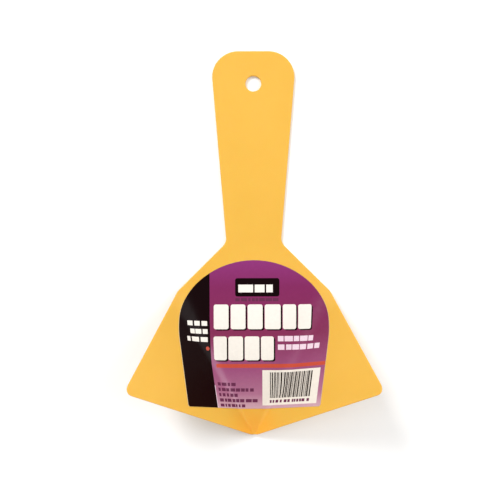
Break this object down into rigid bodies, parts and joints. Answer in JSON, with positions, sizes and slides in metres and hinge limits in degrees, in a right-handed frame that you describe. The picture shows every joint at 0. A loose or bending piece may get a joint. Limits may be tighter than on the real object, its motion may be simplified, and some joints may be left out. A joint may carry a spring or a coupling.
{
  "type": "inside corner trowel",
  "caption": "One-piece plastic corner trowel: flat tapered handle with a hanging hole, and a blade folded into a V for smoothing joint compound into inside corners.",
  "frame": {"origin": "middle of the trowel's bounding box, on the plane of its flat back", "axes": "+Z out of the face that carries the label, +Y along the handle towards its hanging hole, X across the wings"},
  "size_m": [0.126, 0.207, 0.0516],
  "materials": {
    "yellow_plastic": "satin, as moulded, slightly translucent",
    "label_film": "gloss, printed film"
  },
  "bodies": {
    "root": {"trowel_moulding": "yellow_plastic", "front_label": "label_film"}
  },
  "joints": []
}
